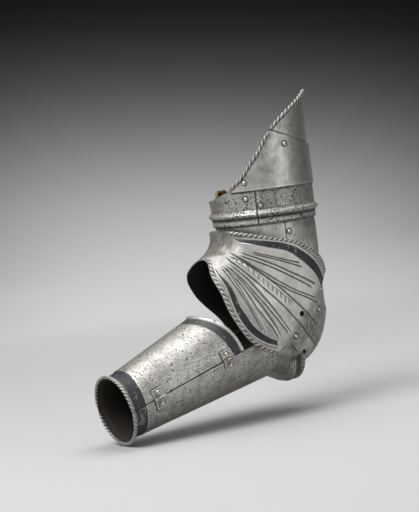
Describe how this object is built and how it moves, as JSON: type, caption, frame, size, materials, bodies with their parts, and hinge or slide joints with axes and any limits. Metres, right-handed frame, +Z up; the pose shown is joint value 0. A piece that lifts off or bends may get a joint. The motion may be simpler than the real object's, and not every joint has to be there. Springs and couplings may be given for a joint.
{
  "type": "vambrace",
  "caption": "Articulated steel arm defence: turning upper plates on a bead, fluted winged elbow plate between two lames, and a hinged two-part forearm cannon.",
  "frame": {"origin": "centre of the elbow, where the axis of the upper arm meets that of the forearm", "axes": "+Z up the upper arm, which is the axis that the upper plates turn about; +X to the back of the elbow; -Y to the outer side of the arm"},
  "size_m": [0.2818, 0.1204, 0.3446],
  "materials": {
    "plate_steel": "brushed and worn",
    "rivet_steel": "rubbed bright",
    "hinge_steel": "dull, aged",
    "strap_leather": "dark, worn",
    "buckle_brass": "dull"
  },
  "bodies": {
    "sleeve": {"sleeve_rear": "plate_steel", "sleeve_front": "plate_steel", "sleeve_rivet_outer": "rivet_steel", "sleeve_rivet_inner": "rivet_steel", "sleeve_pivot_outer": "rivet_steel", "sleeve_pivot_inner": "rivet_steel"},
    "upper_plates": {"point_plate": "plate_steel", "shoulder_plate": "plate_steel", "band_rear": "plate_steel", "band_front": "plate_steel", "strap": "strap_leather", "point_rivet_outer": "rivet_steel", "point_rivet_inner": "rivet_steel", "shoulder_rivet_outer": "rivet_steel", "shoulder_rivet_inner": "rivet_steel", "band_rivet_outer": "rivet_steel", "band_rivet_inner": "rivet_steel", "lining_rivet_outer": "rivet_steel", "lining_rivet_inner": "rivet_steel", "strap_rivet_inner": "rivet_steel"},
    "upper_lame": {"upper_lame": "plate_steel"},
    "couter": {"couter": "plate_steel", "upper_pivot_outer": "rivet_steel", "upper_pivot_inner": "rivet_steel", "lower_pivot_outer": "rivet_steel", "lower_pivot_inner": "rivet_steel"},
    "lower_lame": {"lower_lame": "plate_steel"},
    "cannon_rear": {"cannon_rear": "plate_steel", "cannon_pivot_outer": "rivet_steel", "cannon_pivot_inner": "rivet_steel", "upper_hinge_rear_leaf": "hinge_steel", "lower_hinge_rear_leaf": "hinge_steel", "upper_hinge_pin": "rivet_steel", "lower_hinge_pin": "rivet_steel", "upper_hinge_rivet_rear": "rivet_steel", "lower_hinge_rivet_rear": "rivet_steel"},
    "cannon_front": {"cannon_front": "plate_steel", "upper_hinge_front_leaf": "hinge_steel", "lower_hinge_front_leaf": "hinge_steel", "upper_hinge_rivet_front": "rivet_steel", "lower_hinge_rivet_front": "rivet_steel"},
    "buckle_frame": {"buckle_frame": "buckle_brass"},
    "buckle_tongue": {"buckle_tongue": "buckle_brass"}
  },
  "joints": [
    {"name": "upper_plates_turn", "type": "hinge", "parent": "sleeve", "child": "upper_plates", "pos_m": [0, 0, 0.116], "axis": [0, 0, 1], "continuous": true},
    {"name": "upper_lame_pivot", "type": "hinge", "parent": "sleeve", "child": "upper_lame", "pos_m": [0.0336, 0, 0.02628], "axis": [0, 1, 0], "range_deg": [-0.2, 0.5]},
    {"name": "couter_pivot", "type": "hinge", "parent": "upper_lame", "child": "couter", "pos_m": [0.0249, 0, 0.00462], "axis": [0, 1, 0], "range_deg": [-0.2, 0.5]},
    {"name": "lower_lame_pivot", "type": "hinge", "parent": "couter", "child": "lower_lame", "pos_m": [-0.01188, 0, -0.0192], "axis": [0, 1, 0], "range_deg": [-2, 5]},
    {"name": "cannon_pivot", "type": "hinge", "parent": "lower_lame", "child": "cannon_rear", "pos_m": [-0.04758, 0, -0.0258], "axis": [0, 1, 0], "range_deg": [-2, 5]},
    {"name": "cannon_hinge", "type": "hinge", "parent": "cannon_rear", "child": "cannon_front", "pos_m": [-0.09792, -0.0479, -0.03028], "axis": [0.9509, -0.0969, 0.294], "range_deg": [0, 60]},
    {"name": "buckle_swing", "type": "hinge", "parent": "upper_plates", "child": "buckle_frame", "pos_m": [-0.02155, 0.04622, 0.141], "axis": [-0.9063, -0.4226, 0], "range_deg": [0, 110]},
    {"name": "buckle_tongue_swing", "type": "hinge", "parent": "buckle_frame", "child": "buckle_tongue", "pos_m": [-0.02155, 0.04622, 0.141], "axis": [-0.9063, -0.4226, 0], "range_deg": [0, 60]}
  ],
  "couplings": [
    {"joint": "upper_lame_pivot", "follows": "lower_lame_pivot", "ratio": 0.1},
    {"joint": "couter_pivot", "follows": "lower_lame_pivot", "ratio": 0.1},
    {"joint": "cannon_pivot", "follows": "lower_lame_pivot", "ratio": 1}
  ]
}
